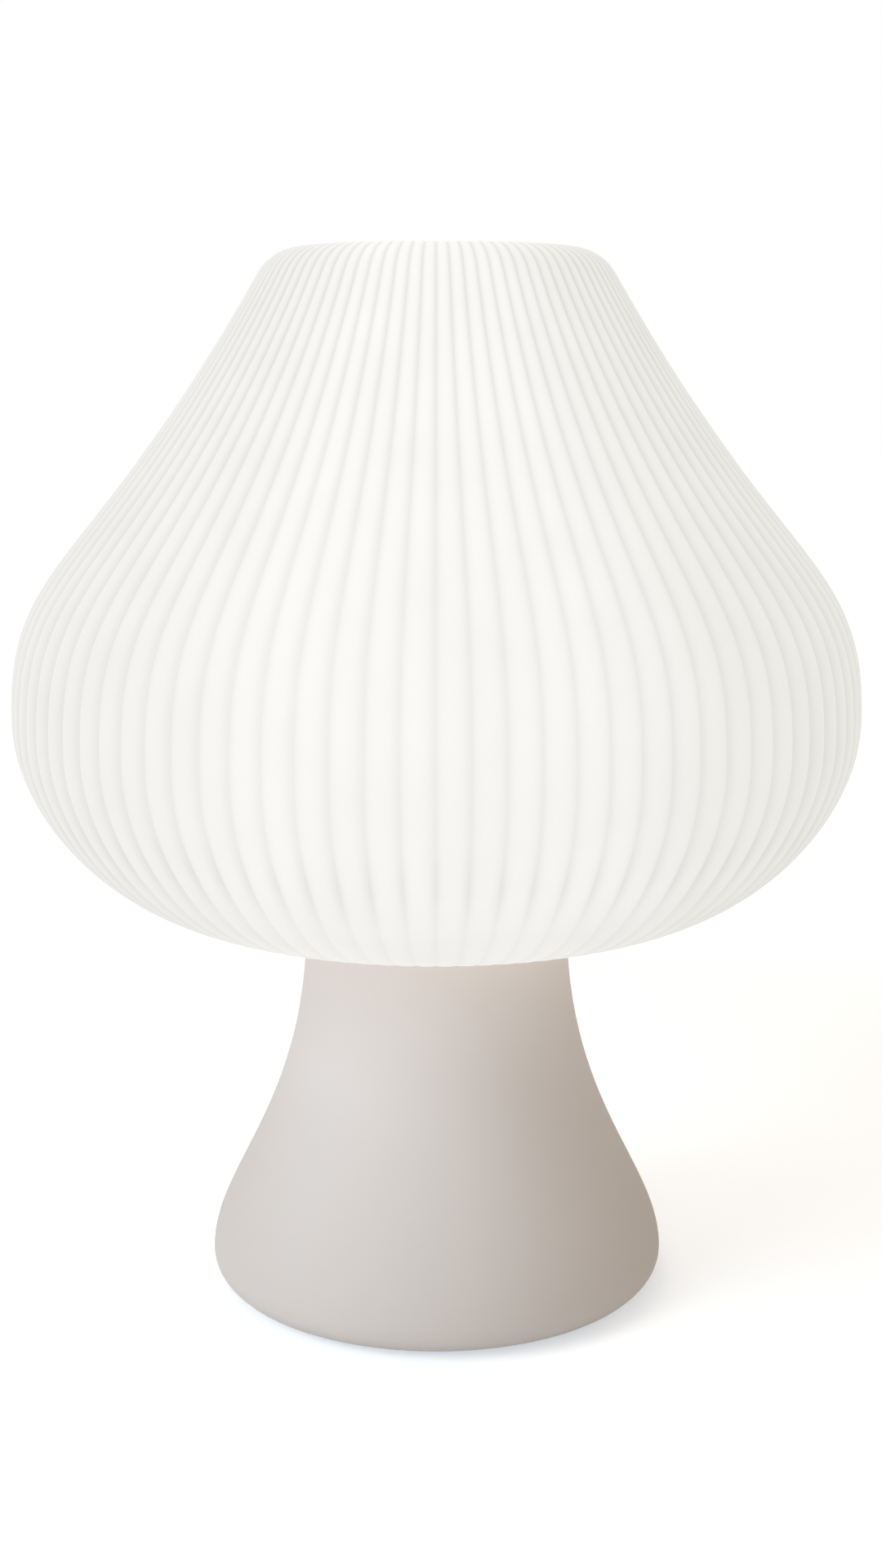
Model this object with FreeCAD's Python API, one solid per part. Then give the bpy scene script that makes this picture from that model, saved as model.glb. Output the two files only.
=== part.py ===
import FreeCAD, Part
import math
import os

# Mushroom table lamp: a ribbed opal shade that lifts off a waisted base, with a screw-in LED bulb inside.
# Sizes are in millimetres. Z is up, the lamp stands on z = 0 and its front faces -Y.

# Shade, measured over the crests of its ribs
shade_diameter = 250.0
shade_height = 194.8
belly_height = 60.7  # of the widest level above the lip
crown_diameter = 82.8  # the flat top inside the rounded shoulder
shoulder_radius = 10.2
flank_angle = 29.8  # of the flank to the vertical, where it leaves the shoulder
flank_reach = 99.6  # how far the flank holds that angle before it bends to the belly
belly_rise = 46.3  # how far the belly's upper curve pulls upwards
belly_drop = 28.8  # and its lower curve downwards
underside_reach = 34.6  # how far the underside stays level before it bends up
lip_diameter = 120.5  # where the underside turns level
mouth_diameter = 70.0
shade_wall = 3.4  # from the crests to the smooth inside
rib_count = 88  # a valley between two ribs faces the front
rib_depth = 0.135  # of the distance between two valleys
rib_top = 0.35  # of the same distance, at the height of the outline
rib_fade_radius = 28.0  # inside which the crown is smooth
rib_fade_below = 0.7  # share of the depth left where the underside turns level

# Base shell
base_diameter = 138.6
base_height = 113.1  # from the bottom edge to the deck that closes the neck
neck_diameter = 79.3
neck_reach = 59.1  # how far the neck stays upright before it flares
skirt_reach = 21.4  # how far the skirt stays upright above the bottom edge's rounding
edge_radius = 9.0  # rounding of the bottom edge
base_wall = 2.8
deck_thickness = 4.0
deck_edge_radius = 1.0
rim_land = 0.6  # flat ring between the rounding and the opening for the plate

# Base plate, feet and ballast
plate_thickness = 3.0
plate_clearance = 0.3
foot_diameter = 12.0
foot_thickness = 3.0
foot_stand = 1.2  # how far the feet stand out below the base
foot_inset = 19.7  # of the feet's centres from the base's widest radius
foot_count = 3
foot_first_angle = 90.0
foot_clearance = 0.1
ballast_inset = 23.7  # of its side from the base's widest radius
ballast_height = 18.0
ballast_taper = 1.0
boss_diameter = 9.0
boss_height = 15.0
boss_inset = 16.7  # of the bosses' centres from the base's widest radius
boss_count = 3
boss_first_angle = 30.0
boss_web = 2.5

# Screws: under the plate, and the one that holds the ballast
plate_screw_diameter = 4.0
plate_screw_length = 12.0
ballast_screw_diameter = 6.0
ballast_screw_length = 16.0
head_ratio = 1.9  # countersunk head over shank diameter
recess_ratio = 0.3  # depth of the cross recess over shank diameter
screw_clearance = 0.05
hole_clearance = 0.25

# Cord gland at the back of the base
gland_height = 11.0  # of its axis above the bottom edge
gland_flange_diameter = 12.0
gland_flange_thickness = 1.6
gland_sink = 0.1  # of the flange below the base's widest radius
gland_barrel_diameter = 8.8
gland_bore_diameter = 7.0
gland_collar_diameter = 9.8
gland_collar_length = 1.4
gland_boss_diameter = 15.0
gland_boss_length = 4.0
gland_clearance = 0.1

# Threaded nipple with its nuts and washers
nipple_diameter = 10.0
nipple_bore_diameter = 7.2
nipple_clearance = 0.2
nipple_tail = 2.0  # of the nipple below the lower nut
nipple_grip = 9.0  # of the nipple inside the lampholder
nut_width = 14.0
nut_thickness = 3.0
washer_diameter = 17.0
washer_thickness = 1.2

# Shade carrier and its gasket
carrier_thickness = 1.5
carrier_inset = 0.6  # of its rim from the neck's outside
collar_height = 7.0
collar_thickness = 1.4
collar_clearance = 0.4  # to the shade's mouth
gasket_thickness = 1.0
gasket_clearance = 0.2

# Lampholder
holder_diameter = 39.6
holder_top_diameter = 36.4
holder_wall = 2.2
holder_entry_diameter = 17.0
holder_entry_height = 3.0
holder_cap_height = 20.0
holder_cap_bowl = 13.0  # height at which the cap's bowl turns upright
holder_skirt_height = 32.0
thread_clearance = 0.05
core_thickness = 9.0
core_seat = 3.0  # of the core below the cap's rim
core_ledge = 2.1  # width of the ledge that carries it
core_clearance = 0.2
sleeve_diameter = 28.8
sleeve_wall = 0.5
sleeve_height = 22.0
sleeve_floor_bore = 19.0
skirt_gap = 1.2  # between sleeve and skirt
contact_thickness = 0.5
contact_width = 5.0
contact_rise = 3.2  # of the spring above the core
contact_foot = 4.0
contact_span = 8.0  # from the contact's fixed end to the axis
terminal_length = 6.0
terminal_width = 7.0
terminal_height = 6.0
terminal_spacing = 17.0
terminal_screw_diameter = 2.9
terminal_screw_length = 4.0
terminal_head_diameter = 4.4
terminal_head_height = 1.8

# LED bulb
bulb_diameter = 55.0
bulb_length = 103.0
globe_wall = 1.2
housing_top = 66.0  # height of the housing's rim above the tip
housing_wall = 2.0
housing_neck_diameter = 27.2
cap_diameter = 26.2
cap_wall = 0.4
cap_top = 26.0
cap_cone = 2.0
tip_diameter = 9.6
tip_height = 1.5
insulator_diameter = 21.0
insulator_height = 5.0
insulator_cone = 3.0
insulator_land = 1.2  # ring of insulator around the tip
cap_clearance = 0.1
plug_height = 14.0  # of the housing inside the cap
housing_flare = 14.0  # length over which the housing's side bends at either end
led_board_diameter = 46.8
led_board_thickness = 1.6
led_board_drop = 3.0  # of its underside below the housing's rim
led_board_ledge = 2.3
led_board_clearance = 0.2
led_count = 12
led_circle = 30.0
led_length = 3.5
led_width = 2.8
led_height = 0.7
driver_width = 16.0
driver_thickness = 1.6
capacitor_diameter = 8.0
capacitor_length = 14.0
coil_width = 9.0
coil_depth = 7.0
coil_height = 10.0
driver_part_gap = 4.0

# Levels worked out from the stack of parts
base_bottom = foot_stand
deck_top = base_bottom + base_height
deck_bottom = deck_top - deck_thickness
plate_top = base_bottom + plate_thickness
carrier_top = deck_top + carrier_thickness
lip_bottom = carrier_top + gasket_thickness
shade_top = lip_bottom + shade_height
upper_nut_bottom = carrier_top + washer_thickness
holder_bottom = upper_nut_bottom + nut_thickness
lower_nut_bottom = deck_bottom - washer_thickness - nut_thickness
core_bottom = holder_bottom + holder_cap_height - core_seat
core_top = core_bottom + core_thickness
terminal_level = core_bottom - terminal_height / 2
bulb_bottom = core_top + contact_rise + contact_thickness
bulb_top = bulb_bottom + bulb_length
globe_centre = bulb_top - bulb_diameter / 2
housing_rim = bulb_bottom + housing_top
led_board_bottom = housing_rim - led_board_drop
gland_level = base_bottom + gland_height

# Radii that several parts share
base_radius = base_diameter / 2
neck_radius = neck_diameter / 2
plate_opening_radius = base_radius - edge_radius - rim_land
boss_circle_radius = base_radius - boss_inset
foot_circle_radius = base_radius - foot_inset
ballast_radius = base_radius - ballast_inset
nipple_hole_radius = nipple_diameter / 2 + nipple_clearance
collar_radius = mouth_diameter / 2 - collar_clearance
terminal_face = terminal_spacing / 2 + terminal_length / 2
rim_radius = math.sqrt((bulb_diameter / 2) ** 2 - (globe_centre - housing_rim) ** 2)
globe_lean = (globe_centre - housing_rim) / rim_radius  # slope of the globe's side at the housing's rim
gland_seat = base_radius - gland_flange_thickness - gland_sink
gland_boss_end = gland_seat - gland_boss_length


class Outline:
    """A closed outline of radii and heights, drawn point by point and then turned about the Z axis."""

    def __init__(self, radius, height):
        self.start = self.at = FreeCAD.Vector(radius, 0, height)
        self.edges = []

    def line(self, radius, height):
        end = FreeCAD.Vector(radius, 0, height)
        if not end.isEqual(self.at, 1e-7):
            self.edges.append(Part.makeLine(self.at, end))
        self.at = end
        return self

    def bend(self, centre, end):
        """An arc of less than half a turn about the centre."""
        centre, end = (FreeCAD.Vector(radius, 0, height) for radius, height in (centre, end))
        radius = (end - centre).Length
        middle = (self.at - centre).normalize() + (end - centre).normalize()
        self.edges.append(Part.Arc(self.at, centre + middle.normalize() * radius, end).toShape())
        self.at = end
        return self

    def curve(self, *poles):
        """A Bezier curve: its two handles and its end."""
        curve = Part.BezierCurve()
        curve.setPoles([self.at] + [FreeCAD.Vector(radius, 0, height) for radius, height in poles])
        self.edges.append(curve.toShape())
        self.at = FreeCAD.Vector(poles[-1][0], 0, poles[-1][1])
        return self

    def turned(self):
        self.line(self.start.x, self.start.z)
        return Part.Face(Part.Wire(self.edges)).revolve(FreeCAD.Vector(), FreeCAD.Vector(0, 0, 1), 360)


def disc(diameter, bottom, height):
    return Part.makeCylinder(diameter / 2, height, FreeCAD.Vector(0, 0, bottom))


def ring(outer, inner, bottom, height):
    return disc(outer, bottom, height).cut(disc(inner, bottom, height))


def block(length, width, height, centre_x, centre_y, bottom):
    corner = FreeCAD.Vector(centre_x - length / 2, centre_y - width / 2, bottom)
    return Part.makeBox(length, width, height, corner)


def moved(shape, x=0.0, y=0.0, z=0.0):
    copy = shape.copy()
    copy.translate(FreeCAD.Vector(x, y, z))
    return copy


def around(shape, count, first_angle=0.0):
    """Copies of a shape, evenly spaced about the Z axis."""
    copies = []
    for index in range(count):
        copy = shape.copy()
        copy.rotate(FreeCAD.Vector(), FreeCAD.Vector(0, 0, 1), first_angle + index * 360 / count)
        copies.append(copy)
    return copies


def countersunk_screw(diameter, length):
    """A screw that points up from z = 0, with a cross recess in its head."""
    shank = diameter / 2
    head = shank * head_ratio
    screw = Outline(0, 0).line(head, 0).line(shank, head - shank).line(shank, length).line(0, length).turned()
    slot = block(diameter, diameter / 5, diameter * recess_ratio, 0, 0, 0)
    return screw.cut([slot] + around(slot, 1, 90))


def countersunk_hole(diameter, depth):
    """The hole that such a screw passes through, its head seated in the cone."""
    shank = diameter / 2 + hole_clearance
    head = diameter / 2 * head_ratio + screw_clearance
    return Outline(0, 0).line(head, 0).line(shank, head - shank).line(shank, depth).line(0, depth).turned()


def base_skirt(outline, inset):
    """The waisted side from the neck down to the top of the bottom edge's rounding."""
    return outline.curve(
        (neck_radius - inset, deck_top - neck_reach),
        (base_radius - inset, base_bottom + edge_radius + skirt_reach),
        (base_radius - inset, base_bottom + edge_radius),
    )


def make_base_shell():
    edge_centre = (base_radius - edge_radius, base_bottom + edge_radius)
    corner = neck_radius - deck_edge_radius
    outside = Outline(0, deck_top).line(corner, deck_top)
    outside.bend((corner, deck_top - deck_edge_radius), (neck_radius, deck_top - deck_edge_radius))
    base_skirt(outside, 0)
    outside.bend(edge_centre, (base_radius - edge_radius, base_bottom))
    outside = outside.line(0, base_bottom).turned()

    inside = Outline(0, deck_bottom).line(neck_radius - base_wall, deck_bottom)
    base_skirt(inside, base_wall)
    inside.bend(edge_centre, (base_radius - edge_radius, base_bottom + base_wall))
    inside.line(plate_opening_radius, base_bottom + base_wall)
    inside = inside.line(plate_opening_radius, base_bottom).line(0, base_bottom).turned()

    boss = moved(disc(boss_diameter, plate_top, boss_height), boss_circle_radius)
    web = block(boss_inset, boss_web, boss_height, base_radius - boss_inset / 2, 0, plate_top)
    bosses = around(boss.fuse(web), boss_count, boss_first_angle)
    gland_boss = Part.makeCylinder(gland_boss_diameter / 2, base_radius - gland_boss_end,
                                   FreeCAD.Vector(0, gland_boss_end, gland_level), FreeCAD.Vector(0, 1, 0))
    inner_bosses = gland_boss.multiFuse(bosses).common(outside)

    thread_depth = plate_screw_length - plate_thickness + 1
    thread = disc(plate_screw_diameter + 2 * screw_clearance, plate_top, thread_depth)
    thread = moved(thread, boss_circle_radius)
    nipple_hole = disc(2 * nipple_hole_radius, deck_bottom, deck_thickness)
    shell = outside.cut(inside).fuse(inner_bosses)
    return shell.cut(around(thread, boss_count, boss_first_angle) + [nipple_hole, gland_hole()])


def facing_back(shape):
    """A shape drawn upwards from z = 0, laid along +Y with that level on the gland's seat."""
    copy = shape.copy()
    copy.rotate(FreeCAD.Vector(), FreeCAD.Vector(1, 0, 0), -90)
    return moved(copy, 0, gland_seat, gland_level)


def gland_hole():
    flange = disc(gland_flange_diameter + 2 * gland_clearance, 0, edge_radius)
    barrel = disc(gland_barrel_diameter + 2 * gland_clearance, -2 * gland_boss_length, 2 * gland_boss_length)
    return facing_back(flange.fuse(barrel))


def make_cord_gland():
    """A snap-in bush: flange outside, collar behind the boss and a tapered lead-in."""
    bore = gland_bore_diameter / 2
    barrel = gland_barrel_diameter / 2
    snap = -gland_boss_length - gland_clearance
    gland = Outline(bore, gland_flange_thickness).line(gland_flange_diameter / 2, gland_flange_thickness)
    gland.line(gland_flange_diameter / 2, 0).line(barrel, 0).line(barrel, snap)
    gland.line(gland_collar_diameter / 2, snap).line(barrel, snap - gland_collar_length)
    return facing_back(gland.line(bore, snap - gland_collar_length).turned())


def make_base_plate():
    plate = disc(2 * (plate_opening_radius - plate_clearance), base_bottom, plate_thickness)
    pocket = disc(foot_diameter + 2 * foot_clearance, base_bottom, foot_thickness - foot_stand)
    pockets = around(moved(pocket, foot_circle_radius), foot_count, foot_first_angle)
    screw_hole = countersunk_hole(plate_screw_diameter, plate_thickness)
    screw_holes = around(moved(screw_hole, boss_circle_radius, 0, base_bottom), boss_count, boss_first_angle)
    ballast_hole = moved(countersunk_hole(ballast_screw_diameter, plate_thickness), 0, 0, base_bottom)
    return plate.cut(pockets + screw_holes + [ballast_hole])


def make_base_plate_screws():
    screw = countersunk_screw(plate_screw_diameter, plate_screw_length)
    screw = moved(screw, boss_circle_radius, 0, base_bottom)
    return Part.makeCompound(around(screw, boss_count, boss_first_angle))


def make_rubber_feet():
    foot = moved(disc(foot_diameter, 0, foot_thickness), foot_circle_radius)
    return Part.makeCompound(around(foot, foot_count, foot_first_angle))


def make_ballast_weight():
    """A cast disc with a tapered side and a threaded hole for its screw."""
    top = plate_top + ballast_height
    hole = ballast_screw_diameter / 2 + screw_clearance
    weight = Outline(hole, plate_top).line(ballast_radius, plate_top)
    return weight.line(ballast_radius - ballast_taper, top).line(hole, top).turned()


def make_ballast_screw():
    return moved(countersunk_screw(ballast_screw_diameter, ballast_screw_length), 0, 0, base_bottom)


def make_threaded_nipple():
    bottom = lower_nut_bottom - nipple_tail
    return ring(nipple_diameter, nipple_bore_diameter, bottom, holder_bottom + nipple_grip - bottom)


def make_lock_nuts():
    corners = [FreeCAD.Vector(nut_width / math.sqrt(3), 0, 0)]
    for side in range(1, 7):
        turn = FreeCAD.Rotation(FreeCAD.Vector(0, 0, 1), 60 * side)
        corners.append(turn.multVec(corners[0]))
    hexagon = Part.Face(Part.makePolygon(corners)).extrude(FreeCAD.Vector(0, 0, nut_thickness))
    nut = hexagon.cut(disc(nipple_diameter + 2 * thread_clearance, 0, nut_thickness))
    return Part.makeCompound([moved(nut, 0, 0, lower_nut_bottom), moved(nut, 0, 0, upper_nut_bottom)])


def make_nipple_washers():
    levels = (deck_bottom - washer_thickness, carrier_top)
    washers = [ring(washer_diameter, 2 * nipple_hole_radius, level, washer_thickness) for level in levels]
    return Part.makeCompound(washers)


def make_shade_carrier():
    """A disc on the deck with an upright collar that centres the shade's mouth."""
    rim = neck_radius - carrier_inset
    carrier = Outline(nipple_hole_radius, deck_top).line(rim, deck_top).line(rim, carrier_top)
    carrier.line(collar_radius, carrier_top).line(collar_radius, carrier_top + collar_height)
    carrier.line(collar_radius - collar_thickness, carrier_top + collar_height)
    carrier.line(collar_radius - collar_thickness, carrier_top)
    return carrier.line(nipple_hole_radius, carrier_top).turned()


def make_shade_gasket():
    inner = collar_radius + gasket_clearance
    return ring(2 * (neck_radius - carrier_inset), 2 * inner, carrier_top, gasket_thickness)


def shade_outline(inset):
    """The shade's outline, or a parallel one further in: the curves of shoulder, flank and belly,
    each as its four poles, with the direction that faces out of the wall at either end."""
    shoulder_level = shade_top - shoulder_radius
    belly_radius = shade_diameter / 2 - inset
    belly_level = lip_bottom + belly_height
    lip_radius = lip_diameter / 2
    angle = math.radians(flank_angle)
    bend = shoulder_radius - inset
    bend_handle = bend * math.tan((math.pi / 2 - angle) / 4) * 4 / 3
    flank_radius = crown_diameter / 2 + bend * math.cos(angle)
    flank_level = shoulder_level + bend * math.sin(angle)
    upwards, outwards, downwards = (0, 1), (1, 0), (0, -1)
    off_flank = (math.cos(angle), math.sin(angle))
    shoulder = [
        (crown_diameter / 2, shade_top - inset),
        (crown_diameter / 2 + bend_handle, shade_top - inset),
        (flank_radius - bend_handle * math.sin(angle), flank_level + bend_handle * math.cos(angle)),
        (flank_radius, flank_level),
    ]
    flank = [
        (flank_radius, flank_level),
        (flank_radius + flank_reach * math.sin(angle), flank_level - flank_reach * math.cos(angle)),
        (belly_radius, belly_level + belly_rise),
        (belly_radius, belly_level),
    ]
    belly = [
        (belly_radius, belly_level),
        (belly_radius, belly_level - belly_drop),
        (lip_radius + underside_reach, lip_bottom + inset),
        (lip_radius, lip_bottom + inset),
    ]
    return [(shoulder, upwards, off_flank), (flank, off_flank, outwards), (belly, outwards, downwards)]


def shade_body(inset):
    """All that lies inside the smooth outline."""
    body = Outline(0, shade_top - inset).line(crown_diameter / 2, shade_top - inset)
    for poles, _, _ in shade_outline(inset):
        body.curve(*poles[1:])
    return body.line(0, lip_bottom + inset).turned()


def rib_edge(poles, start, end, shares, turn):
    """A meridian of the shade's outside, sunk below the outline by a share of the ribs' depth."""
    points = []
    for (radius, height), facing, share in zip(poles, (start, start, end, end), shares):
        depth = share * rib_depth * 2 * math.pi * radius / rib_count
        points.append(FreeCAD.Vector(radius - depth * facing[0], 0, height - depth * facing[1]))
    meridian = Part.BezierCurve()
    meridian.setPoles(points)
    edge = meridian.toShape()
    edge.rotate(FreeCAD.Vector(), FreeCAD.Vector(0, 0, 1), turn)
    return edge


def ribbed_body():
    """The shade's outside as a solid: each rib has a narrow top and two sides that slope to the valleys."""
    crown_reach = crown_diameter / 2 - rib_fade_radius
    crown = [(rib_fade_radius + crown_reach * step / 3, shade_top) for step in range(4)]
    sections = [(crown, (0, 1), (0, 1))] + shade_outline(0)
    depths = [(0, 0, 1, 1), (1, 1, 1, 1), (1, 1, 1, 1), (1, 1, rib_fade_below, 0)]
    valley = 180 / rib_count
    crest = valley * rib_top
    first_crest = valley - 90
    faces, rims = [], []
    for section, shares in zip(sections, depths):
        edges = [
            rib_edge(*section, shares, -valley),
            rib_edge(*section, (0, 0, 0, 0), -crest),
            rib_edge(*section, (0, 0, 0, 0), crest),
            rib_edge(*section, shares, valley),
        ]
        ends = [[edge.Vertexes[end].Point for edge in edges] for end in (0, 1)]
        rims.append([[Part.makeLine(*pair) for pair in zip(row, row[1:])] for row in ends])
        for edge, following in zip(edges, edges[1:]):
            faces += around(Part.makeRuledSurface(edge, following), rib_count, first_crest)
    for chords in (rims[0][0], rims[-1][1]):
        rim = [edge for chord in chords for edge in around(chord, rib_count, first_crest)]
        faces.append(Part.Face(Part.Wire(Part.__sortEdges__(rim))))
    shell = Part.makeShell(faces)
    shell.sewShape()
    body = Part.makeSolid(shell)
    if body.Volume < 0:
        body.reverse()
    return body


def make_shade():
    mouth = disc(mouth_diameter, lip_bottom, shade_wall)
    return ribbed_body().cut([shade_body(shade_wall), mouth])


def make_lampholder_cap():
    """The lower shell: screwed on the nipple, bowl shaped, with a ledge inside for the core."""
    entry = nipple_diameter / 2 + thread_clearance
    outer = holder_diameter / 2
    seat = outer - holder_wall
    rim = holder_bottom + holder_cap_height
    floor = holder_bottom + nipple_grip
    entry_top = holder_bottom + holder_entry_height
    cap = Outline(entry, holder_bottom).line(holder_entry_diameter / 2, holder_bottom)
    cap.line(holder_entry_diameter / 2, entry_top)
    cap.curve((outer - holder_wall, entry_top), (outer, entry_top + holder_wall),
              (outer, holder_bottom + holder_cap_bowl))
    cap.line(outer, rim).line(seat, rim).line(seat, core_bottom).line(seat - core_ledge, core_bottom)
    return cap.line(seat - core_ledge, floor).line(entry, floor).turned()


def make_lampholder_core():
    return disc(holder_diameter - 2 * holder_wall - 2 * core_clearance, core_bottom, core_thickness)


def make_lampholder_skirt():
    """The upper shell: holds the core down and stands around the sleeve."""
    outer = holder_diameter / 2
    rim = holder_bottom + holder_cap_height
    top = rim + holder_skirt_height
    inner = sleeve_diameter / 2 + skirt_gap
    skirt = Outline(outer - holder_wall, rim).line(outer, rim).line(holder_top_diameter / 2, top)
    return skirt.line(inner, top).line(inner, core_top).line(outer - holder_wall, core_top).turned()


def make_screw_sleeve():
    outer = sleeve_diameter / 2
    top = core_top + sleeve_height
    floor = core_top + sleeve_wall
    sleeve = Outline(outer, core_top).line(outer, top).line(outer - sleeve_wall, top)
    return sleeve.line(outer - sleeve_wall, floor).line(sleeve_floor_bore / 2, floor).line(
        sleeve_floor_bore / 2, core_top).turned()


def make_centre_contact():
    """A strip bent up from its foot on the core to the axis."""
    rise_end = -contact_foot / 4
    corners = [
        (-contact_span, 0), (-contact_foot, 0), (rise_end, contact_rise), (contact_foot / 2, contact_rise),
        (contact_foot / 2, bulb_bottom - core_top), (rise_end, bulb_bottom - core_top),
        (-contact_foot, contact_thickness), (-contact_span, contact_thickness), (-contact_span, 0),
    ]
    points = [FreeCAD.Vector(x, -contact_width / 2, core_top + height) for x, height in corners]
    return Part.Face(Part.makePolygon(points)).extrude(FreeCAD.Vector(0, contact_width, 0))


def terminal_screw(growth=0.0):
    """The screw of the terminal on the +X side, or with some growth its hole."""
    start = FreeCAD.Vector(terminal_face - terminal_screw_length, 0, terminal_level)
    radius = terminal_screw_diameter / 2 + growth
    return Part.makeCylinder(radius, terminal_screw_length, start, FreeCAD.Vector(1, 0, 0))


def make_terminals():
    terminal = block(terminal_length, terminal_width, terminal_height, terminal_spacing / 2, 0,
                     core_bottom - terminal_height)
    return Part.makeCompound(around(terminal.cut(terminal_screw(screw_clearance)), 2))


def make_terminal_screws():
    seat = FreeCAD.Vector(terminal_face, 0, terminal_level)
    head = Part.makeCylinder(terminal_head_diameter / 2, terminal_head_height, seat, FreeCAD.Vector(1, 0, 0))
    return Part.makeCompound(around(terminal_screw().fuse(head), 2))


def make_bulb_tip_contact():
    return disc(tip_diameter, bulb_bottom, tip_height)


def make_bulb_insulator():
    bottom = bulb_bottom + tip_height
    radius = insulator_diameter / 2
    insulator = Outline(0, bottom).line(tip_diameter / 2 + insulator_land, bottom)
    insulator.line(radius, bottom + insulator_cone).line(radius, bottom + insulator_height)
    return insulator.line(0, bottom + insulator_height).turned()


def make_bulb_cap_shell():
    """The screw cap: a thin sleeve that closes in to the insulator."""
    radius = cap_diameter / 2
    hole = insulator_diameter / 2 + cap_clearance
    cone_bottom = bulb_bottom + tip_height + insulator_cone
    top = bulb_bottom + cap_top
    shell = Outline(hole, cone_bottom).line(radius, cone_bottom + cap_cone).line(radius, top)
    shell.line(radius - cap_wall, top).line(radius - cap_wall, cone_bottom + cap_cone)
    return shell.line(hole, cone_bottom + cap_wall).turned()


def make_bulb_housing():
    """The flared body between cap and globe, with a plug in the cap and a ledge for the LED board."""
    neck = housing_neck_diameter / 2
    plug = cap_diameter / 2 - cap_wall - cap_clearance
    cap_level = bulb_bottom + cap_top
    board_seat = led_board_bottom
    board_radius = led_board_diameter / 2 + led_board_clearance
    ledge = board_radius - led_board_ledge
    flare_start = cap_level + housing_wall
    flare_end = housing_rim - housing_flare
    lean = globe_lean * housing_flare
    housing = Outline(plug, cap_level - plug_height).line(plug, cap_level).line(neck, cap_level)
    housing.line(neck, flare_start)
    housing.curve((neck, flare_start + housing_flare), (rim_radius - lean, flare_end),
                  (rim_radius, housing_rim))
    housing.line(board_radius, housing_rim).line(board_radius, board_seat).line(ledge, board_seat)
    bore = plug - housing_wall
    housing.curve((ledge - lean, board_seat - housing_flare), (bore, flare_start + housing_flare),
                  (bore, flare_start))
    return housing.line(bore, cap_level - plug_height).turned()


def make_bulb_globe():
    centre = (0, globe_centre)
    inner = bulb_diameter / 2 - globe_wall
    inner_rim = math.sqrt(inner ** 2 - (globe_centre - housing_rim) ** 2)
    globe = Outline(0, bulb_top).bend(centre, (rim_radius, housing_rim)).line(inner_rim, housing_rim)
    return globe.bend(centre, (0, globe_centre + inner)).turned()


def make_led_board():
    return disc(led_board_diameter, led_board_bottom, led_board_thickness)


def make_led_chips():
    chip = block(led_width, led_length, led_height, led_circle / 2, 0, led_board_bottom + led_board_thickness)
    return Part.makeCompound(around(chip, led_count))


def make_driver_board():
    bottom = bulb_bottom + cap_top - plug_height
    return block(driver_width, driver_thickness, led_board_bottom - bottom, 0, 0, bottom)


def make_driver_components():
    """A capacitor on one side of the driver board and a coil on the other, below the LED board."""
    top = led_board_bottom - driver_part_gap
    capacitor = moved(disc(capacitor_diameter, top - capacitor_length, capacitor_length), 0,
                      driver_thickness / 2 + capacitor_diameter / 2)
    coil_place = -(driver_thickness + coil_depth) / 2
    coil = block(coil_width, coil_depth, coil_height, 0, coil_place, top - coil_height)
    return Part.makeCompound([capacitor, coil])


nodes = {
    "shade": make_shade,
    "shade_gasket": make_shade_gasket,
    "shade_carrier": make_shade_carrier,
    "base_shell": make_base_shell,
    "base_plate": make_base_plate,
    "base_plate_screws": make_base_plate_screws,
    "rubber_feet": make_rubber_feet,
    "ballast_weight": make_ballast_weight,
    "ballast_screw": make_ballast_screw,
    "cord_gland": make_cord_gland,
    "threaded_nipple": make_threaded_nipple,
    "lock_nuts": make_lock_nuts,
    "nipple_washers": make_nipple_washers,
    "lampholder_cap": make_lampholder_cap,
    "lampholder_core": make_lampholder_core,
    "lampholder_skirt": make_lampholder_skirt,
    "screw_sleeve": make_screw_sleeve,
    "centre_contact": make_centre_contact,
    "terminals": make_terminals,
    "terminal_screws": make_terminal_screws,
    "bulb_tip_contact": make_bulb_tip_contact,
    "bulb_insulator": make_bulb_insulator,
    "bulb_cap_shell": make_bulb_cap_shell,
    "bulb_housing": make_bulb_housing,
    "bulb_globe": make_bulb_globe,
    "led_board": make_led_board,
    "led_chips": make_led_chips,
    "driver_board": make_driver_board,
    "driver_components": make_driver_components,
}

os.makedirs("parts", exist_ok=True)
for name, make in nodes.items():
    make().exportStep(f"parts/{name}.step")
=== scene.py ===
import math

import bpy
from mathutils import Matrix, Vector


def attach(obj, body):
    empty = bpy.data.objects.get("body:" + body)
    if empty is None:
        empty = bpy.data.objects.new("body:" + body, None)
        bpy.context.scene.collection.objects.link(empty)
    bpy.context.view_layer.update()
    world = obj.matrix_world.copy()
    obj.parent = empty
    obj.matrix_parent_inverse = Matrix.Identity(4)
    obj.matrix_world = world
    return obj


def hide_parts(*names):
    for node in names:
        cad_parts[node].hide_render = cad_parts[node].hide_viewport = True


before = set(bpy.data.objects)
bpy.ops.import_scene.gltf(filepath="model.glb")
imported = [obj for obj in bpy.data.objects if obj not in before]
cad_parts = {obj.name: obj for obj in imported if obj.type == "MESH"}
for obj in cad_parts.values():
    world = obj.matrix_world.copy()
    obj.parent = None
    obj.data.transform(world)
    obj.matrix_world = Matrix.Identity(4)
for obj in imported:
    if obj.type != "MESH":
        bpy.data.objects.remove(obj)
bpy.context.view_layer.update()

bpy.context.scene.view_settings.view_transform = "Standard"


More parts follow.
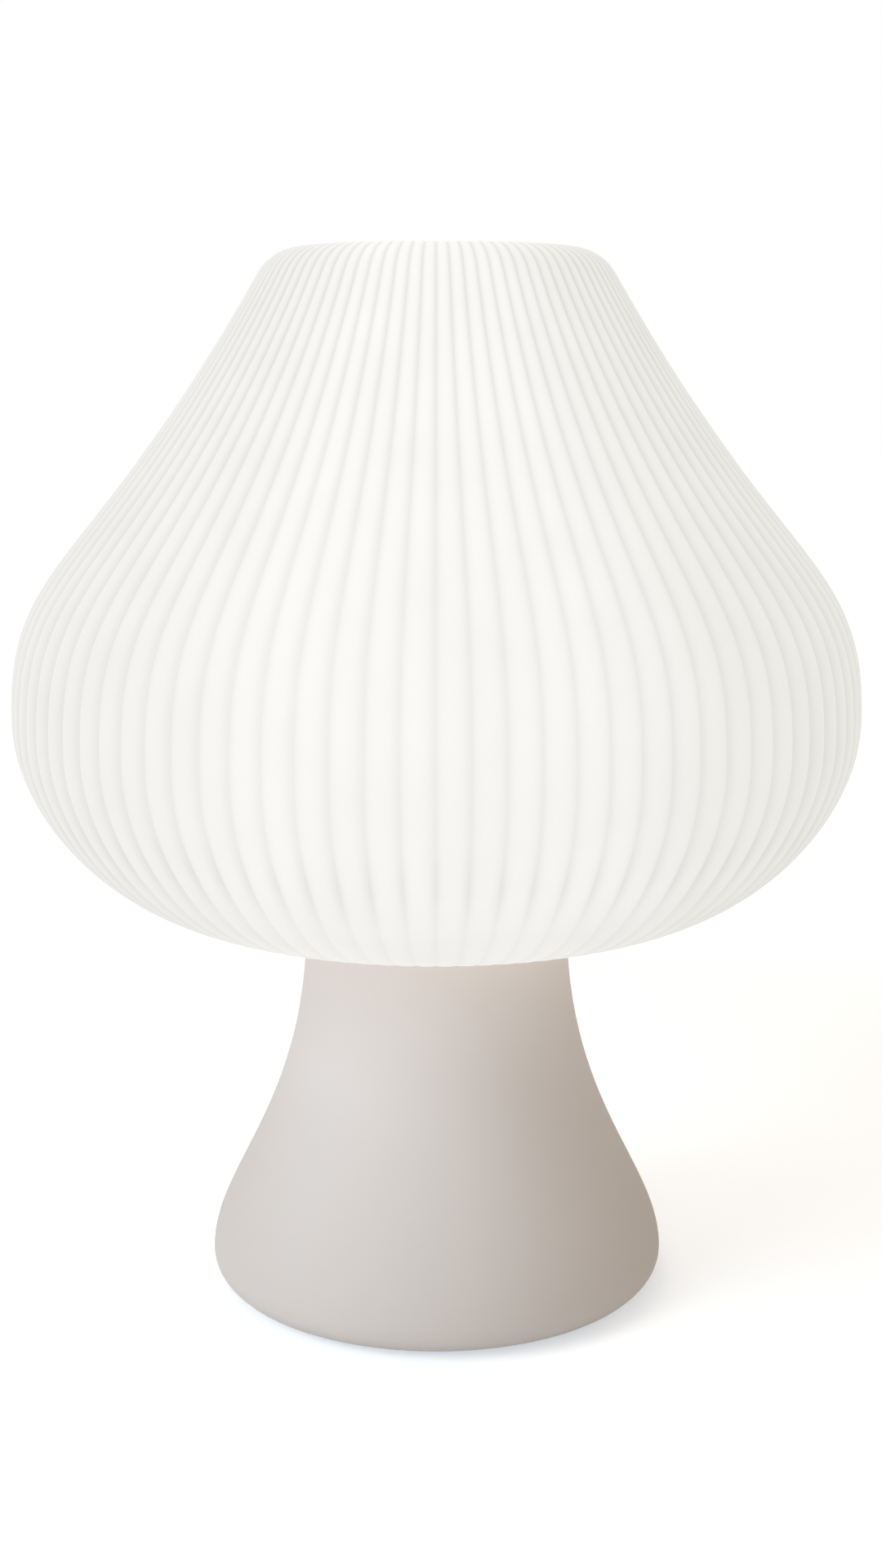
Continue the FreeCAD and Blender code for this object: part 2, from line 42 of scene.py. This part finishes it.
# The view: a camera at the height of the shade's middle, a little over six hundred millimetres away,
# tipped down so that the whole lamp stands upright in the tall frame.
eye_height = 0.2779
eye_distance = 0.6436
eye_aside = 0.0013
downward_tilt = math.radians(10.84)
view = bpy.data.cameras.new("portrait_camera")
view.sensor_fit = "AUTO"
view.sensor_width = 36.0
view.lens = 49.97
view_object = bpy.data.objects.new("portrait_camera", view)
view_object.location = (eye_aside, -eye_distance, eye_height)
view_object.rotation_euler = (math.pi / 2 - downward_tilt, 0, 0)
bpy.context.scene.collection.objects.link(view_object)
bpy.context.scene.camera = view_object


# The studio: a warm, dim room all round and three soft panels, the strongest at the left, so that
# the right side of the base falls into a warm shade. The camera sees the room as plain white.
aim = Vector((0, 0, 0.15))


def soft_panel(name, place, width, height, power, colour):
    """A rectangular area light at a place, turned to the lamp."""
    panel = bpy.data.lights.new(name, "AREA")
    panel.shape = "RECTANGLE"
    panel.size = width
    panel.size_y = height
    panel.energy = power
    panel.color = colour
    panel_object = bpy.data.objects.new(name, panel)
    panel_object.location = place
    panel_object.rotation_euler = (aim - Vector(place)).to_track_quat("-Z", "Y").to_euler()
    bpy.context.scene.collection.objects.link(panel_object)


soft_panel("panel_left", (-1.5, -0.9, 0.92), 1.2, 1.4, 20.5, (0.79, 0.91, 1.0))
soft_panel("panel_front", (0.3, -2.2, 1.1), 1.6, 1.0, 9.8, (0.80, 0.91, 1.0))
soft_panel("panel_overhead", (-0.2, 0.2, 1.9), 1.4, 1.4, 7.0, (1.0, 1.0, 1.0))


class Signal:
    """An output of a node in a tree. Arithmetic on signals adds Math nodes, and node() adds any other."""

    def __init__(self, tree, socket=None):
        self.tree = tree
        self.socket = socket

    def node(self, kind, settings=None, values=None, output=0):
        """Adds a node, sets its settings, then its sockets' values or links, and returns one output."""
        added = self.tree.nodes.new(kind)
        for name, setting in (settings or {}).items():
            setattr(added, name, setting)
        for name, value in (values or {}).items():
            if isinstance(value, Signal):
                self.tree.links.new(value.socket, added.inputs[name])
            else:
                added.inputs[name].default_value = value
        return None if output is None else Signal(self.tree, added.outputs[output])

    def calculate(self, operation, *others):
        return self.node("ShaderNodeMath", {"operation": operation}, dict(enumerate((self, *others))))

    def __add__(self, other):
        return self.calculate("ADD", other)

    def __radd__(self, other):
        return self.calculate("ADD", other)

    def __sub__(self, other):
        return self.calculate("SUBTRACT", other)

    def __rsub__(self, other):
        return self.node("ShaderNodeMath", {"operation": "SUBTRACT"}, {0: other, 1: self})

    def __mul__(self, other):
        return self.calculate("MULTIPLY", other)

    def __rmul__(self, other):
        return self.calculate("MULTIPLY", other)

    def __truediv__(self, other):
        return self.calculate("DIVIDE", other)

    def __pow__(self, other):
        return self.calculate("POWER", other)


world = bpy.data.worlds.new("white_room")
bpy.context.scene.world = world
world.use_nodes = True
world.node_tree.nodes.clear()
maker = Signal(world.node_tree)


def looked_at(maker):
    """1 for what the camera sees, straight, mirrored or through glass, and 0 for what lights the lamp."""
    direct, mirrored, through = (maker.node("ShaderNodeLightPath", output=ray) for ray in (
        "Is Camera Ray", "Is Glossy Ray", "Is Transmission Ray"))
    return direct.calculate("MAXIMUM", mirrored).calculate("MAXIMUM", through)


room_glow = maker.node("ShaderNodeBackground", {}, {"Color": (1.0, 0.76, 0.50, 1), "Strength": 0.375})
backdrop = maker.node("ShaderNodeBackground", {}, {"Color": (1, 1, 1, 1), "Strength": 1.0})
room = maker.node("ShaderNodeMixShader", {}, {0: looked_at(maker), 1: room_glow, 2: backdrop})
maker.node("ShaderNodeOutputWorld", {}, {"Surface": room}, output=None)


# The table: a wide matt white top, that keeps only the lamp's own soft shadow. A glow that only
# the camera sees grows away from the lamp, so that the top runs into the backdrop.
def new_finish(name, constants):
    """A material with its shader's constant sockets set, and the signal that its maths starts from."""
    material = bpy.data.materials.new(name)
    material.use_nodes = True
    shader = material.node_tree.nodes["Principled BSDF"]
    for socket, value in constants.items():
        shader.inputs[socket].default_value = value
    return material, shader, Signal(material.node_tree)


def feed(shader, **links):
    """Links signals to a shader's sockets, whose names have underscores here for spaces."""
    for name, signal in links.items():
        signal.tree.links.new(signal.socket, shader.inputs[name.replace("_", " ")])


def grain(maker, size, detail=3.0, stretch=(1, 1, 1)):
    """Noise from 0 to 1 whose grains are about size metres across, in the object's own coordinates."""
    place = maker.node("ShaderNodeTexCoord", output="Object")
    scaled = maker.node("ShaderNodeMapping", {}, {"Vector": place, "Scale": stretch})
    return maker.node("ShaderNodeTexNoise", {}, {"Vector": scaled, "Scale": 1 / size, "Detail": detail}, "Fac")


def two_tone(maker, share, colour, other):
    """A colour that goes from one to the other as share goes from 0 to 1."""
    return maker.node("ShaderNodeMix", {"data_type": "RGBA"},
                      {0: share, 6: (*colour, 1), 7: (*other, 1)}, output=2)


def relief(maker, height, depth, strength):
    """A normal bumped by a height signal, depth metres deep."""
    return maker.node("ShaderNodeBump", {}, {"Height": height, "Distance": depth, "Strength": strength})


table_material, shader, maker = new_finish("table_white", {"Roughness": 0.9, "Specular IOR Level": 0.1})
fibre = grain(maker, 0.02)
feed(shader, Base_Color=two_tone(maker, fibre, (0.90, 0.90, 0.90), (0.93, 0.93, 0.93)))
glow_starts = 0.35  # metres from the lamp
glow_widens = 1.2
far_off = maker.node("ShaderNodeVectorMath", {"operation": "LENGTH"},
                     {0: maker.node("ShaderNodeTexCoord", output="Object")}, "Value")
spread = ((far_off - glow_starts) / glow_widens).calculate("MAXIMUM", 0.0).calculate("MINIMUM", 1.0)
lift = maker.node("ShaderNodeEmission", {}, {"Color": (0.85, 0.92, 1, 1), "Strength": spread * 0.75 + 0.48})
unlit = maker.node("ShaderNodeEmission", {}, {"Color": (0, 0, 0, 1), "Strength": 0.0})
glow = maker.node("ShaderNodeMixShader", {}, {0: looked_at(maker), 1: unlit, 2: lift})
lifted = maker.node("ShaderNodeAddShader", {}, {0: Signal(maker.tree, shader.outputs[0]), 1: glow})
maker.tree.links.new(lifted.socket, maker.tree.nodes["Material Output"].inputs["Surface"])

table_mesh = bpy.data.meshes.new("table")
half = 6.0
corners = [(-half, -half, 0), (half, -half, 0), (half, half, 0), (-half, half, 0)]
table_mesh.from_pydata(corners, [], [(0, 1, 2, 3)])
table_mesh.materials.append(table_material)
table = bpy.data.objects.new("table", table_mesh)
bpy.context.scene.collection.objects.link(table)


# The base: one waisted shell in a warm pale grey, moulded and then sprayed with a soft matt paint.
# Its paint is even, with only a fine tooth that breaks up the light.
def dress(node, material):
    """Gives a carried-over solid its finish."""
    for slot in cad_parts[node].material_slots:
        slot.material = material


paint, shader, maker = new_finish("matt_paint", {"Specular IOR Level": 0.35})
tooth = grain(maker, 0.0006)
cloud = grain(maker, 0.05)
feed(shader,
     Base_Color=two_tone(maker, cloud, (0.640, 0.606, 0.598), (0.658, 0.626, 0.620)),
     Roughness=tooth * 0.12 + 0.58,
     Normal=relief(maker, tooth, 0.00003, 0.6))
dress("base_shell", paint)


# Under the base: a zinc plated plate with its three countersunk screws, a cast weight held by a fourth,
# and three black rubber feet glued in their pockets.
zinc, shader, maker = new_finish("zinc_plated_steel", {"Metallic": 1.0})
brushed = grain(maker, 0.0008, 4.0, (1, 12, 12))
bloom = grain(maker, 0.006)
feed(shader,
     Base_Color=two_tone(maker, bloom, (0.62, 0.63, 0.64), (0.72, 0.72, 0.70)),
     Roughness=brushed * 0.2 + 0.28,
     Normal=relief(maker, brushed, 0.00002, 0.5))
for node in ("base_plate", "base_plate_screws", "ballast_screw"):
    dress(node, zinc)

iron, shader, maker = new_finish("cast_iron", {"Metallic": 0.6})
skin = grain(maker, 0.0015, 6.0)
feed(shader,
     Base_Color=two_tone(maker, skin, (0.10, 0.10, 0.11), (0.20, 0.20, 0.21)),
     Roughness=skin * 0.25 + 0.55,
     Normal=relief(maker, skin, 0.0003, 0.7))
dress("ballast_weight", iron)

rubber, shader, maker = new_finish("black_rubber", {"Specular IOR Level": 0.3})
pores = grain(maker, 0.0004)
feed(shader,
     Base_Color=two_tone(maker, pores, (0.035, 0.035, 0.036), (0.06, 0.06, 0.06)),
     Roughness=pores * 0.2 + 0.65,
     Normal=relief(maker, pores, 0.00005, 0.6))
dress("rubber_feet", rubber)
dress("cord_gland", rubber)


# The fixing: a threaded nipple clamps carrier and lampholder to the neck between two nuts and washers,
# and a clear silicone ring keeps the shade from rattling on the painted carrier.
for node in ("threaded_nipple", "lock_nuts", "nipple_washers"):
    dress(node, zinc)

carrier_paint, shader, maker = new_finish("carrier_paint", {})
peel = grain(maker, 0.0012)
feed(shader,
     Base_Color=two_tone(maker, peel, (0.80, 0.80, 0.78), (0.84, 0.84, 0.82)),
     Roughness=peel * 0.1 + 0.38,
     Normal=relief(maker, peel, 0.00003, 0.5))
dress("shade_carrier", carrier_paint)

silicone, shader, maker = new_finish("clear_silicone", {"Transmission Weight": 0.5, "IOR": 1.41})
haze = grain(maker, 0.004)
feed(shader,
     Base_Color=two_tone(maker, haze, (0.82, 0.82, 0.80), (0.90, 0.90, 0.88)),
     Roughness=haze * 0.2 + 0.3)
dress("shade_gasket", silicone)


# The lampholder: two white moulded shells screwed together round a steatite core,
# which carries the brass screw sleeve, the centre contact and the two terminals.
holder_white, shader, maker = new_finish("holder_plastic", {"Specular IOR Level": 0.45})
mould = grain(maker, 0.0005)
feed(shader,
     Base_Color=two_tone(maker, mould, (0.80, 0.80, 0.785), (0.83, 0.83, 0.815)),
     Roughness=mould * 0.12 + 0.34,
     Normal=relief(maker, mould, 0.00002, 0.5))
dress("lampholder_cap", holder_white)
dress("lampholder_skirt", holder_white)

steatite, shader, maker = new_finish("steatite", {"Specular IOR Level": 0.3})
speck = grain(maker, 0.0007, 5.0)
feed(shader,
     Base_Color=two_tone(maker, speck, (0.74, 0.71, 0.65), (0.84, 0.82, 0.77)),
     Roughness=speck * 0.2 + 0.6,
     Normal=relief(maker, speck, 0.00006, 0.6))
dress("lampholder_core", steatite)

brass, shader, maker = new_finish("brass", {"Metallic": 1.0})
tarnish = grain(maker, 0.003, 4.0)
feed(shader,
     Base_Color=two_tone(maker, tarnish, (0.72, 0.52, 0.22), (0.84, 0.66, 0.34)),
     Roughness=tarnish * 0.2 + 0.2)
for node in ("screw_sleeve", "centre_contact", "terminals"):
    dress(node, brass)
dress("terminal_screws", zinc)


# The bulb: a nickel plated cap with a glass insulator, a white flared housing and an opal globe.
# It is lit, and its light comes from the phosphor chips on the board under the globe.
nickel, shader, maker = new_finish("nickel_plating", {"Metallic": 1.0})
plating = grain(maker, 0.002, 4.0)
feed(shader,
     Base_Color=two_tone(maker, plating, (0.46, 0.45, 0.43), (0.56, 0.55, 0.52)),
     Roughness=plating * 0.12 + 0.22)
dress("bulb_cap_shell", nickel)
dress("bulb_tip_contact", nickel)

glass, shader, maker = new_finish("black_glass", {"Coat Weight": 0.5})
streak = grain(maker, 0.002)
feed(shader,
     Base_Color=two_tone(maker, streak, (0.015, 0.013, 0.016), (0.04, 0.03, 0.04)),
     Roughness=streak * 0.1 + 0.12)
dress("bulb_insulator", glass)

housing_white, shader, maker = new_finish("bulb_plastic", {})
satin = grain(maker, 0.0008)
feed(shader,
     Base_Color=two_tone(maker, satin, (0.86, 0.86, 0.85), (0.89, 0.89, 0.88)),
     Roughness=satin * 0.1 + 0.3,
     Normal=relief(maker, satin, 0.00001, 0.4))
dress("bulb_housing", housing_white)

globe_opal, shader, maker = new_finish("lit_globe", {"Roughness": 0.4, "Emission Strength": 0.85})
milk = grain(maker, 0.02)
feed(shader,
     Base_Color=two_tone(maker, milk, (0.13, 0.13, 0.12), (0.16, 0.16, 0.15)),
     Emission_Color=two_tone(maker, milk, (0.93, 0.85, 0.71), (0.97, 0.91, 0.79)))
dress("bulb_globe", globe_opal)

solder_mask, shader, maker = new_finish("white_solder_mask", {})
weave = grain(maker, 0.0006)
feed(shader,
     Base_Color=two_tone(maker, weave, (0.78, 0.79, 0.80), (0.84, 0.84, 0.85)),
     Roughness=weave * 0.1 + 0.35)
dress("led_board", solder_mask)

phosphor, shader, maker = new_finish("phosphor", {"Emission Strength": 1.0, "Roughness": 0.3})
gel = grain(maker, 0.0005)
feed(shader,
     Base_Color=two_tone(maker, gel, (0.85, 0.72, 0.22), (0.92, 0.80, 0.30)),
     Emission_Color=two_tone(maker, gel, (1.0, 0.90, 0.66), (1.0, 0.94, 0.74)))
dress("led_chips", phosphor)

board_green, shader, maker = new_finish("green_board", {})
glass_cloth = grain(maker, 0.0004)
feed(shader,
     Base_Color=two_tone(maker, glass_cloth, (0.03, 0.16, 0.07), (0.05, 0.22, 0.10)),
     Roughness=glass_cloth * 0.15 + 0.3)
dress("driver_board", board_green)

resin, shader, maker = new_finish("black_resin", {})
pitting = grain(maker, 0.0006)
feed(shader,
     Base_Color=two_tone(maker, pitting, (0.03, 0.03, 0.035), (0.06, 0.06, 0.065)),
     Roughness=pitting * 0.2 + 0.45)
dress("driver_components", resin)


# The shade: one blown shell of opal plastic with eighty-eight ribs that run from the crown over the shoulder
# and the belly, and fade out on the underside. It glows from the bulb within and lifts off the carrier.
ribs = 88
rib_depth = 0.135  # of the distance between two valleys
crest_roundness = 0.65
faces_per_rib = 8
shade_top = 0.3116
shade_lip = 0.1168
belly_radius = 0.125
belly_level = shade_lip + 0.0607
crown_radius = 0.0389
shoulder_radius = 0.0145
flank_angle = math.radians(30.4)
flank_reach = 0.0996
belly_rise = 0.0463
belly_drop = 0.0288
underside_reach = 0.0346
lip_radius = 0.06025
mouth_radius = 0.035
wall = 0.0034
rib_fade_on_crown = 0.028  # radius inside which the crown is smooth
rib_fade_below = (0.058, 0.112)  # radii on the underside between which the ribs grow to their full depth


def bezier(first, second, third, last, count):
    """Points along a curve given by its ends and two handles, without the first end."""
    points = []
    for step in range(1, count + 1):
        t = step / count
        points.append(tuple((1 - t) ** 3 * a + 3 * (1 - t) ** 2 * t * b + 3 * (1 - t) * t * t * c + t ** 3 * d
                            for a, b, c, d in zip(first, second, third, last)))
    return points


def arc(centre, radius, start, end, count):
    """Points along an arc of radii and heights, without its start."""
    angles = [start + (end - start) * step / count for step in range(1, count + 1)]
    return [(centre[0] + radius * math.cos(angle), centre[1] + radius * math.sin(angle)) for angle in angles]


def shade_outline(inset, steps):
    """The shade's outline from the crown's edge to the lip, or a parallel one further in."""
    shoulder = (crown_radius, shade_top - shoulder_radius)
    bend = shoulder_radius - inset
    edge = (belly_radius - inset, belly_level)
    lip = (lip_radius, shade_lip + inset)
    points = [(crown_radius, shade_top - inset)]
    points += arc(shoulder, bend, math.pi / 2, flank_angle, steps[0])
    flank = points[-1]
    down_flank = (flank[0] + flank_reach * math.sin(flank_angle), flank[1] - flank_reach * math.cos(flank_angle))
    points += bezier(flank, down_flank, (edge[0], edge[1] + belly_rise), edge, steps[1])
    points += bezier(edge, (edge[0], edge[1] - belly_drop), (lip[0] + underside_reach, lip[1]), lip, steps[2])
    return points


outside = [(0.0, shade_top), (rib_fade_on_crown, shade_top), (0.035, shade_top)]
outside += shade_outline(0.0, (8, 32, 34)) + [(0.05, shade_lip), (0.042, shade_lip)]
mouth_edge = arc((mouth_radius + wall / 2, shade_lip + wall / 2), wall / 2, -math.pi / 2, -3 * math.pi / 2, 6)
inside = shade_outline(wall, (3, 14, 16))[::-1] + [(0.0, shade_top - wall)]
meridian = outside + [(mouth_radius + wall / 2, shade_lip)] + mouth_edge + [(0.045, shade_lip + wall)] + inside
ribbed = len(outside)

meridian_mesh = bpy.data.meshes.new("shade_meridian")
meridian_mesh.from_pydata([(radius, 0, height) for radius, height in meridian],
                          [(index, index + 1) for index in range(len(meridian) - 1)], [])
meridian_mesh.attributes.new("inward", "FLOAT_VECTOR", "POINT")
meridian_mesh.attributes.new("rib_share", "FLOAT", "POINT")
inward = meridian_mesh.attributes["inward"].data
rib_share = meridian_mesh.attributes["rib_share"].data
for index, (radius, height) in enumerate(meridian):
    before = meridian[max(index - 1, 0)]
    after = meridian[min(index + 1, len(meridian) - 1)]
    along = Vector((after[0] - before[0], after[1] - before[1])).normalized()
    inward[index].vector = (along[1], 0, -along[0])
    share = 0.0
    if index < ribbed:
        low, high = (rib_fade_on_crown, crown_radius) if height > belly_level else rib_fade_below
        rise = min(max((radius - low) / (high - low), 0), 1)
        share = rise * rise * (3 - 2 * rise)
    rib_share[index].value = share

ribbed_shell = bpy.data.node_groups.new("ribbed_shell", "GeometryNodeTree")
for name, kind in (("Meridian", "Geometry"), ("Ribs", "Int"), ("Faces per rib", "Int"), ("Rib depth", "Float"),
                   ("Crest roundness", "Float"), ("Finish", "Material")):
    ribbed_shell.interface.new_socket(name=name, in_out="INPUT", socket_type="NodeSocket" + kind)
ribbed_shell.interface.new_socket(name="Shell", in_out="OUTPUT", socket_type="NodeSocketGeometry")
maker = Signal(ribbed_shell)
given = ribbed_shell.nodes.new("NodeGroupInput")
drawn, rib_count, rib_faces, depth, roundness, finish = (
    Signal(ribbed_shell, given.outputs[index]) for index in range(6))
rows = maker.node("GeometryNodeAttributeDomainSize", {"component": "MESH"}, {"Geometry": drawn})
sheet = maker.node("GeometryNodeMeshGrid", {}, {"Vertices X": rib_count * rib_faces + 1, "Vertices Y": rows})
flat_place = maker.node("GeometryNodeInputPosition")
across = maker.node("ShaderNodeSeparateXYZ", {}, {0: flat_place}, output=0)
down = maker.node("ShaderNodeSeparateXYZ", {}, {0: flat_place}, output=1)
row = ((down + 0.5) * (rows - 1)).calculate("ROUND")
turn = (0.5 - across) * math.tau


def drawn_value(kind, value):
    return maker.node("GeometryNodeSampleIndex", {"data_type": kind, "domain": "POINT"},
                      {"Geometry": drawn, "Value": value, "Index": row})


point = drawn_value("FLOAT_VECTOR", maker.node("GeometryNodeInputPosition"))
into_wall = drawn_value("FLOAT_VECTOR", maker.node(
    "GeometryNodeInputNamedAttribute", {"data_type": "FLOAT_VECTOR"}, {"Name": "inward"}))
share = drawn_value("FLOAT", maker.node(
    "GeometryNodeInputNamedAttribute", {"data_type": "FLOAT"}, {"Name": "rib_share"}))
radius = maker.node("ShaderNodeSeparateXYZ", {}, {0: point}, output=0)
pitch = radius * math.tau / rib_count
hollow = 1 - (turn * rib_count / 2).calculate("SINE").calculate("ABSOLUTE") ** roundness
sunk = maker.node("ShaderNodeVectorMath", {"operation": "SCALE"},
                  {0: into_wall, "Scale": hollow * depth * pitch * share})
carved = maker.node("ShaderNodeVectorMath", {"operation": "ADD"}, {0: point, 1: sunk})
spun = maker.node("ShaderNodeVectorRotate", {"rotation_type": "Z_AXIS"}, {"Vector": carved, "Angle": turn})
shell = maker.node("GeometryNodeSetPosition", {}, {"Geometry": sheet, "Position": spun})
shell = maker.node("GeometryNodeMergeByDistance", {}, {"Geometry": shell, "Distance": 0.00001})
shell = maker.node("GeometryNodeSetShadeSmooth", {}, {"Geometry": shell})
shell = maker.node("GeometryNodeRealizeInstances", {}, {"Geometry": shell})
shell = maker.node("GeometryNodeSetMaterial", {}, {"Geometry": shell, "Material": finish})
result = ribbed_shell.nodes.new("NodeGroupOutput")
ribbed_shell.links.new(shell.socket, result.inputs[0])

opal, shader, maker = new_finish("lit_opal", {
    "Roughness": 0.65, "Specular IOR Level": 0.06, "Emission Strength": 1.5})
# The glow carries painted shade towards the left and right sides and in the rib valleys, and is a little darker
# on the underside.
even_glow = 0.558
bright_level = 0.262  # height at which the shade is brightest
bright_reach = 0.15  # above and below that
# Painted shade: the glow is drawn darker towards the right and left sides of the shade, in object coordinates.
painted_shade_right = 0.096
painted_shade_left = 0.078
dim_underside = 0.020
mouth_glow = 0.58
place = maker.node("ShaderNodeTexCoord", output="Object")
x, y, z = (maker.node("ShaderNodeSeparateXYZ", {}, {0: place}, output=axis) for axis in range(3))
crest = (y.calculate("ARCTAN2", x) * (ribs / 2)).calculate("SINE").calculate("ABSOLUTE")
valley = (1 - crest) ** 1.5


def ramp(value, start, end):
    """0 before start, 1 past end, and even between them."""
    return ((value - start) / (end - start)).calculate("MAXIMUM", 0.0).calculate("MINIMUM", 1.0)


# The valleys are painted darker than the crests, as painted shade, most so near the crown and just under the
# belly.
from_axis = (x * x + y * y).calculate("SQRT")
valley_shade_by_height = (ramp(z, 0.200, 0.300) * 0.050 + ramp(z, 0.160, 0.151) * 0.025
            - ramp(z, 0.148, 0.136) * 0.055 + 0.052)
painted_valley_shade = valley_shade_by_height * ramp(from_axis, rib_fade_on_crown, crown_radius)
nearness = 1 - ((z - bright_level).calculate("ABSOLUTE") / bright_reach) ** 2
clouding = grain(maker, 0.02, 4.0)
# Masks for that painted shade at the right and left sides.
aside = x / from_axis.calculate("MAXIMUM", 0.05)
right_side_mask = ramp(aside, 0.3, 1.0)
left_side_mask = ramp(aside, -0.35, -0.95)
beneath = ramp(from_axis, 0.070, 0.062) * z.calculate("LESS_THAN", 0.14)
glow = (nearness * 0.035 + even_glow - ramp(z, 0.146, 0.132) * dim_underside
        - right_side_mask * painted_shade_right - left_side_mask * painted_shade_left - valley * painted_valley_shade
        + (clouding - 0.5) * 0.03 + beneath * mouth_glow)
# The blue of the glow is lowered at the right side as painted warm shade, and round the mouth.
feed(shader,
     Base_Color=two_tone(maker, clouding, (0.075, 0.075, 0.074), (0.085, 0.085, 0.084)),
     Emission_Color=maker.node("ShaderNodeCombineColor", {}, {
         0: glow, 1: glow * (0.985 - beneath * 0.035), 2: glow * (0.962 - right_side_mask * 0.03 - beneath * 0.08)}))

blown = bpy.data.objects.new("shade_blank", meridian_mesh)
bpy.context.scene.collection.objects.link(blown)
blowing = blown.modifiers.new("ribbed_shell", "NODES")
blowing.node_group = ribbed_shell
sockets = {item.name: item.identifier for item in ribbed_shell.interface.items_tree if item.in_out == "INPUT"}
for name, value in (("Ribs", ribs), ("Faces per rib", faces_per_rib), ("Rib depth", rib_depth),
                    ("Crest roundness", crest_roundness), ("Finish", opal)):
    blowing[sockets[name]] = value
shade_mesh = bpy.data.meshes.new_from_object(blown.evaluated_get(bpy.context.evaluated_depsgraph_get()))
bpy.data.objects.remove(blown)
shade_mesh.name = "ribbed_shade"
ribbed_shade = bpy.data.objects.new("ribbed_shade", shade_mesh)
bpy.context.scene.collection.objects.link(ribbed_shade)
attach(ribbed_shade, "shade")
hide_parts("shade")
